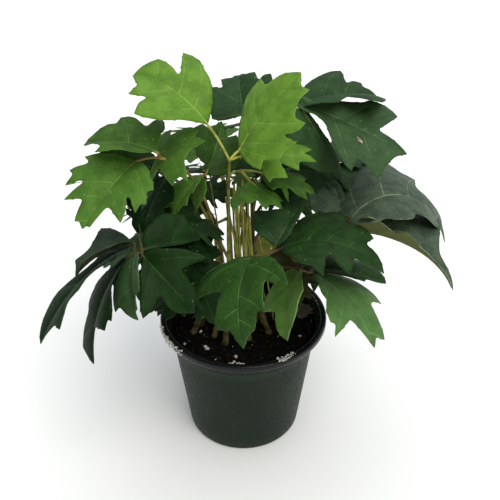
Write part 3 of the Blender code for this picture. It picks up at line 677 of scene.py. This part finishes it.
# Twigs and leaves of each shoot, radii in mm: a petiole slims at first and swells at last
twig = {"share": 0.62, "end": 0.8, "petiole": 1.35, "slimming": 0.55, "swelling": 0.15, "stalk": 0.7,
        # height and radius, up the knob that joins the leaflets
        "knob": ((-1.2, 0.45), (-0.8, 0.85), (0, 1.0), (0.8, 0.85), (1.2, 0.45))}
for name, rows in shoots.items():
    line = limbLine(rows)
    aim = (line[-1] - line[-2]).normalized()
    start = line[-1] + aim * 0.3
    top = Vector(rows["leaves"][0]["at"])
    bend = Vector(rows["bend"]) if rows["bend"] else start + aim * 0.55 * (top - start).length
    points, faces = [], []
    thick = twig["share"] * rows["radius"]
    radii = [thick + (twig["end"] - thick) * k / 24 for k in range(25)]
    tube(arch(start, bend, top, 24), radii, 10, points, faces, relief=0.06, seed=3)
    leafMesh, stalkFaces = ([], [], [], []), []
    for n, sprig in enumerate(rows["leaves"]):
        at = Vector(sprig["at"])
        rng = random.Random(100 * n + rows["heading"])
        if n:
            fork = bezier(start, bend, top, sprig["share"])
            reach = (at - fork).length
            lift = fork + (at - fork).normalized() * reach * 0.5 + zUp * 0.16 * reach
            radii = [twig["petiole"] - twig["slimming"] * min(1, k / 4)
                     + twig["swelling"] * max(0, (k - 14) / 4) for k in range(19)]
            tube(arch(fork, lift, at, 18), radii, 8, points, faces, relief=0.05, seed=n)
        tube([at + zUp * d for d, _ in twig["knob"]], [r for _, r in twig["knob"]], 8, points, faces)
        for spec in sprig["blades"]:
            spec["tint"] = spec["tint"] or sprig["tint"]
            base = Vector(spec["base"])
            # the stalk runs on under the blade for a fifth of its length
            x, y, lift = np.array([0.05, 0.20]) * spec["arc"], np.zeros(2), np.array([-.5, -.3])
            under, _ = bladeSurface(spec, x, y, lift)
            middle = at.lerp(base, 0.5) + zUp * 0.12 * (base - at).length
            stalk = arch(at, middle, base - zUp * 0.3, 8) + [Vector(p) for p in under.tolist()]
            bare = len(faces)
            tube(stalk, [twig["stalk"]] * 9 + [0.55, 0.25], 8, points, faces, relief=0.04, seed=n)
            stalkFaces += range(bare, len(faces))
            leafletMesh(spec, rng, *leafMesh)
    stalkBark = barks["pale" if name == "lime" else rows["bark"]]
    twigs = addMesh("twigs_" + name, points, faces, [barks[rows["bark"]], stalkBark])
    for k in stalkFaces:
        twigs.data.polygons[k].material_index = 1
    leaves = addLeaves("leaves_" + name, *leafMesh)
    for piece, slot in ((twigs, "stem"), (leaves, "leaf")):
        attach(piece, "root")
        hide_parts("foliage_" + name)
    print("scene:", name, len(leafMesh[1]), "leaf faces")

# A dry leaf that has fallen on the soil at the right
fallen = blade((38.5, 0.5, 86.3), 57, 2, 8, 17, 24, 14, "narrow", "even", "dry")
leafMesh = ([], [], [], [])
leafletMesh(fallen, random.Random(4), *leafMesh)
fallenLeaf = addLeaves("fallen_leaf", *leafMesh)
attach(fallenLeaf, "root")

# A dry spot on the large leaf at the upper right: shares along and across, half sizes and lift in mm
spot = {"shoot": "upper_right", "along": 0.54, "across": 0.20, "size": (2.6, 1.1), "slant": 40, "lift": 0.75}
spec = shoots[spot["shoot"]]["leaves"][0]["blades"][0]
# dead tissue: pale, dry and matt
spotSkin = makeMaterial("dead_leaf_tissue", "#b8a79a", "#6e5644", 2, (.7, .85), 0.5, 0.1)
around, slant = 16, radians(spot["slant"])
x, y = [spot["along"] * spec["arc"]], [spot["across"] * spec["arc"]]
for k in range(around):
    a = 2 * pi * k / around
    reach = spot["size"][0] * (cos(a) * (1 + 0.2 * sin(3.0 * k)))
    side = spot["size"][1] * (sin(a) * (1 + 0.3 * sin(5.0 * k)))
    x.append(x[0] + reach * cos(slant) - side * sin(slant))
    y.append(y[0] + reach * sin(slant) + side * cos(slant))
place, _ = bladeSurface(spec, np.array(x), np.array(y), np.full(around + 1, spot["lift"]))
fan = [(0, 1 + (k + 1) % around, 1 + k) for k in range(around)]
drySpot = addMesh("dry_spot", place.tolist(), fan, [spotSkin])
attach(drySpot, "root")

# Young stems in the middle of the clump, lit from behind, mm: foot x and y, top x, y and z, radius, bark
youngStems = [
    (12, 0, -32, -17, 200, 1.3, "olive"), (-7, 1, -19, -13, 198, 0.6, "olive"),
    (-5, 0, -9, -11, 201, 1.0, "olive"), (4, 0, -10, -7, 184, 0.8, "pale"), (0, 0, -5, -10, 194, 0.8, "pale"),
    (2, 0, -2, -5, 194, 0.9, "pale"), (3, 0, 0, -11, 198, 0.8, "pale"), (3, 2, 2, 0, 194, 1.1, "brown"),
    (3, -2, 4, -7, 197, 0.7, "pale"), (5, 0, 5, 2, 192, 0.8, "olive"), (10, 0, 6, -4, 195, 1.1, "brown"),
    (21, 0, 6, 0, 176, 0.5, "pale"), (15, 0, 12, 3, 177, 0.5, "olive"), (-8, 0, -1, -3, 182, 0.8, "pale"),
    (11, 1, -1, -9, 182, 0.8, "pale"), (0, -9, -4, -3, 176, 0.8, "pale"), (8, -8, 1, -4, 174, 0.7, "pale"),
    (-3, -10, 3, -8, 170, 0.7, "pale"), (-3, -2, -6, -2, 187, 0.8, "olive"), (6, -2, 3, -9, 186, 0.8, "pale"),
    (1, -4, -3, -9, 180, 0.8, "pale"), (9, -3, 4, -10, 172, 0.8, "pale"), (-6, -4, 0, -5, 168, 0.8, "olive"),
    (13, -4, 2, -8, 166, 0.7, "pale"),
]
for bark in ("pale", "olive", "brown"):
    points, faces = [], []
    for n, (x, y, topX, topY, topZ, radius, kind) in enumerate(youngStems):
        if kind == bark:
            foot, top = Vector((x, y, 84)), Vector((topX, topY, topZ))
            bow = foot.lerp(top, 0.5) + Vector((1.5 * sin(3 * n), 1.5 * cos(5 * n), 0))
            # narrower towards the top, with nodes
            radii = [radius * (0.95 - 0.2 * k / 30) * (1.25 if k % 11 == 7 else 1) for k in range(31)]
            tube(arch(foot, bow, top, 30), radii, 8, points, faces, relief=0.08, seed=n)
    piece = addMesh("young_stems_" + bark, points, faces, [barks[bark]])
    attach(piece, "root")

# Nursery pot in mm. channel: the raised ring of its floor; step: how far it widens under the lip
pot = {"height": 92, "base": 40, "top": 51.2, "wall": 1.6, "step": 0.9, "floor": 2.4,
       "channel": (21, 33.5, 2.0), "channelTop": 4.2, "holes": 6, "hole": 3.6, "sides": 128}
# injection moulded polypropylene: dark green, satin, faintly uneven
potPlastic = makeMaterial("moulded_polypropylene_green", "#1a261b", "#162118", 30, (.42, .58), 2.5, 0.08, 0.16)
# the same plastic, polished by handling: near black with a clear highlight
rimPlastic = makeMaterial("moulded_polypropylene_rim", "#05080a", "#080c0c", 12, (.2, .38), 1.5, 0.08, 0.3)


def wallAt(h):
    return pot["base"] + (pot["top"] - pot["base"]) * h / pot["height"]


# Profile from the middle of the floor out, up the wall, over the lip and down inside
inner, outer, rise = pot["channel"]
profile = [(0, 0), (inner, 0), (inner + 1.2, rise), (outer - 1.2, rise), (outer, 0), (wallAt(0) - 2, 0),
           (wallAt(0) - .6, .6), (wallAt(2), 2)]
profile += [(wallAt(h), h) for h in (12, 24, 36, 48, 60, 72, 77.2)]
profile += [(wallAt(78) + .25, 77.6), (wallAt(78) + .75, 78.2)]
profile += [(wallAt(low) + pot["step"], h) for low, h in ((78.6, 78.9), (82, 82), (85, 86))]
profile += [(53.6, 86.5), (55.8, 86.7), (56.6, 87.2), (57, 88.2), (57, 90.9), (56.7, 91.6), (56.1, 92),
            (53.9, 92), (53.2, 91.6), (52.6, 90.8), (51.6, 88.5), (wallAt(86) - .4, 86),
            (wallAt(78) - .7, 78)]
profile += [(wallAt(h) - pot["wall"], h) for h in (60, 30, 4)]
profile += [(wallAt(3) - 3, pot["floor"]), (outer, pot["floor"]), (outer - 1.5, pot["channelTop"]),
            (inner + 1.5, pot["channelTop"]), (inner, pot["floor"]), (0, pot["floor"])]
points, faces, slots = [(0, 0, profile[0][1]), (0, 0, profile[-1][1])], [], []
sides, rings = pot["sides"], profile[1:-1]
for r, h in rings:
    points += ringOf(r, h, sides)
last = 2 + (len(rings) - 1) * sides
for s in range(sides):
    t = (s + 1) % sides
    faces += [(0, 2 + t, 2 + s), (1, last + s, last + t)]
    slots += [0, 0]
for k in range(len(rings) - 1):
    bridge(faces, 2 + k * sides, 2 + (k + 1) * sides, sides)
    # the lip lies beyond this radius and above this height
    slots += [1 if (rings[k][0] + rings[k + 1][0]) / 2 > 52 and rings[k][1] > 86.2 else 0] * sides
potBody = addMesh("pot_body", points, faces, [potPlastic, rimPlastic], slots)

# Drain holes through the raised channel
points, faces = [], []
for k in range(pot["holes"]):
    a = 2 * pi * (k + 0.5) / pot["holes"]
    at = Vector((cos(a), sin(a), 0)) * (inner + outer) / 2
    tube([at - zUp, at + zUp * 6], [pot["hole"]] * 2, 32, points, faces)
drill = addMesh("drain_drill", points, faces, [potPlastic])
cut = potBody.modifiers.new("drain", "BOOLEAN")
cut.operation, cut.object, cut.solver = "DIFFERENCE", drill, "EXACT"
drilled = bpy.data.meshes.new_from_object(potBody.evaluated_get(bpy.context.evaluated_depsgraph_get()))
potBody.modifiers.clear()
potBody.data = drilled
bpy.data.objects.remove(drill)
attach(potBody, "root")
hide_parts("pot")

# Soil: peat with crumbs, bark bits and white perlite, mm. seen: the perlite grains that the photo shows
soilLook = {"top": 84, "gap": 0.9, "relief": 1.6, "foot": 5.0, "footGap": 2.4,
            "fibres": 260, "crumbs": 1500, "perlite": 30,
            "seen": ((-29, -12), (-24, -30), (-5, -38), (-9, -45), (-4, -45), (-1, -46), (-6, -43), (38, -18),
                     (40, 14), (-39, -25), (-25, -28))}
# moist peat: almost black, rough, crumbly
peat = makeMaterial("moist_peat", "#0d0a07", "#060504", 3, (.75, .95), 0.8, 0.6, 0.2, 1.0)
# expanded glass rock: chalky white grains
perliteWhite = makeMaterial("expanded_perlite", "#e4e2da", "#c9c6ba", 1.5, (.8, .95), 0.6, 0.2)
# shredded bark: red brown, dull
fibre = makeMaterial("bark_fibre", "#2c1c12", "#3a2a1a", 2, (.75, .95), 0.6, 0.3, 0.2)
rng = random.Random(5)
rings, around, soilTop = 34, 96, soilLook["top"]
points, faces = [(0.0, 0.0, soilTop)], []
edge = wallAt(soilTop) - soilLook["gap"]
for k in range(1, rings + 1):
    for s in range(around):
        a = 2 * pi * s / around
        r = edge * k / rings
        x, y = r * cos(a), r * sin(a)
        # broad hummocks and small clods
        bumps = noise.noise(Vector((x / 7, y / 7, 3))) + 0.6 * noise.noise(Vector((x / 2.2, y / 2.2, 8)))
        points.append((x, y, soilTop - 0.4 + soilLook["relief"] * bumps))
foot = len(points)
points += ringOf(wallAt(soilLook["foot"]) - soilLook["footGap"], soilLook["foot"], around)
for s in range(around):
    faces.append((0, 1 + s, 1 + (s + 1) % around))
for k in range(rings):
    for s in range(around):
        a, b, t = 1 + k * around, 1 + (k + 1) * around, (s + 1) % around
        faces.append((a + s, b + s, b + t, a + t))
faces.append(tuple(foot + s for s in range(around))[::-1])
soil = addMesh("soil_bed", points, faces, [peat])
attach(soil, "root")
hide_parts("soil")


def addLump(points, faces, centre, size, rng, flatten=0.7):
    # an irregular grain from a cube's corners and face middles
    first = len(points)
    turn = Matrix.Rotation(rng.uniform(0, 6.28), 3, "Z") @ Matrix.Rotation(rng.uniform(0, 3.14), 3, "X")
    corners = [Vector((x, y, z)).normalized() for x in (-1, 1) for y in (-1, 1) for z in (-1, 1)]
    middles = [Vector(v) for v in ((-1, 0, 0), (1, 0, 0), (0, -1, 0), (0, 1, 0), (0, 0, -1), (0, 0, 1))]
    for v in corners + middles:
        p = turn @ (v * size * rng.uniform(0.75, 1.15))
        points.append(tuple(centre + Vector((p.x, p.y, p.z * flatten))))
    quads = ((0, 1, 3, 2), (4, 6, 7, 5), (0, 4, 5, 1), (2, 3, 7, 6), (0, 2, 6, 4), (1, 5, 7, 3))
    for middle, quad in enumerate(quads):
        for k in range(4):
            faces.append((first + 8 + middle, first + quad[k], first + quad[(k + 1) % 4]))


def scatter(rng):
    r, a = edge * sqrt(rng.random()) * 0.97, rng.uniform(0, 2 * pi)
    return Vector((r * cos(a), r * sin(a), soilTop))


points, faces = [], []
for k in range(soilLook["fibres"]):
    size = rng.choice((0.4, 0.6, 0.9, 1.2))
    addLump(points, faces, scatter(rng) + zUp * size * 0.5, size, rng, 0.6)
fibres = addMesh("bark_fibres", points, faces, [fibre], flat=[True] * len(faces))
points, faces = [], []
for k in range(soilLook["crumbs"]):
    size = rng.choice((0.5, 0.7, 0.9, 1.3, 1.8))
    addLump(points, faces, scatter(rng) + zUp * size * 0.25, size, rng)
crumbs = addMesh("soil_crumbs", points, faces, [peat], flat=[True] * len(faces))
points, faces = [], []
for x, y in soilLook["seen"]:
    addLump(points, faces, Vector((x, y, soilTop + 0.6)), rng.uniform(1.0, 1.6), rng, 0.8)
for k in range(soilLook["perlite"]):
    size = rng.uniform(0.3, 0.7)
    addLump(points, faces, scatter(rng) + zUp * size * 0.3, size, rng, 0.8)
# white crust on the lip: from and to angle, radius, height, how many, grain size
rimDust = [
    (192, 226, (56.0, 57.3), (87.6, 92.0), 190, (0.5, 1.15)),
    (293, 307, (52.3, 56.6), (91.8, 92.2), 46, (0.35, 0.85)),
    (8, 30, (52.9, 53.6), (90.6, 92.0), 45, (0.25, 0.5)),
    (262, 275, (52.0, 53.0), (89.5, 91.5), 8, (0.5, 0.9)),
]
for low, high, radius, lift, many, sizes in rimDust:
    for k in range(many):
        a = radians(rng.uniform(low, high))
        r = rng.uniform(*radius)
        place = Vector((r * cos(a), r * sin(a), rng.uniform(*lift)))
        addLump(points, faces, place, rng.uniform(*sizes), rng, 0.5)
grains = addMesh("perlite_grains", points, faces, [perliteWhite], flat=[True] * len(faces))
for piece in (crumbs, grains, fibres):
    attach(piece, "root")
print("scene: pot and soil done")

# Floor, light and camera
sweep = 3000
# matt studio paper, nearly white
paper = makeMaterial("pale_paper_sweep", "#fafaf8", "#f8f8f6", 400, (.7, .8), 3, 0.01, strength=0.05)
corners = [(-sweep, -sweep, 0), (sweep, -sweep, 0), (sweep, sweep, 0), (-sweep, sweep, 0)]
floor = addMesh("floor", corners, [(0, 1, 2, 3)], [paper])

world = bpy.data.worlds.new("soft_room")
scene.world = world
world.use_nodes = True
background = world.node_tree.nodes["Background"]
background.inputs["Color"].default_value = toLinear("#f3f6f8")
background.inputs["Strength"].default_value = 0.5

lamps = {
    # name: heading and height of the light in degrees, softness in degrees, strength, colour
    "window": (-58, 52, 40, 1.6, "#fffdf8"),
    "ceiling": (60, 75, 80, 1.35, "#f8fbff"),
}
for name, (heading, pitch, softness, strength, colour) in lamps.items():
    lamp = bpy.data.lights.new(name, "SUN")
    lamp.angle = radians(softness)
    lamp.energy = strength
    lamp.color = toLinear(colour)[:3]
    holder = bpy.data.objects.new(name, lamp)
    holder.rotation_euler = (-direction(heading, pitch)).to_track_quat("-Z", "Y").to_euler()
    scene.collection.objects.link(holder)

# degrees down and radians to the side
down, turn = radians(31.65), -0.0146
back = Vector((sin(turn) * cos(down), -cos(turn) * cos(down), sin(down)))
rightWay = zUp.cross(back).normalized()
upWay = back.cross(rightWay)
lens = bpy.data.cameras.new("photo_view")
lens.lens = 46.66
lens.sensor_width = 36
lens.shift_x, lens.shift_y = -0.002, 0.002
camera = bpy.data.objects.new("photo_view", lens)
facing = Matrix((rightWay, upWay, back)).transposed().to_4x4()
camera.matrix_world = Matrix.Translation((0.0, -0.35859, 0.36221)) @ facing
scene.collection.objects.link(camera)
scene.camera = camera
scene.view_settings.view_transform = "Standard"
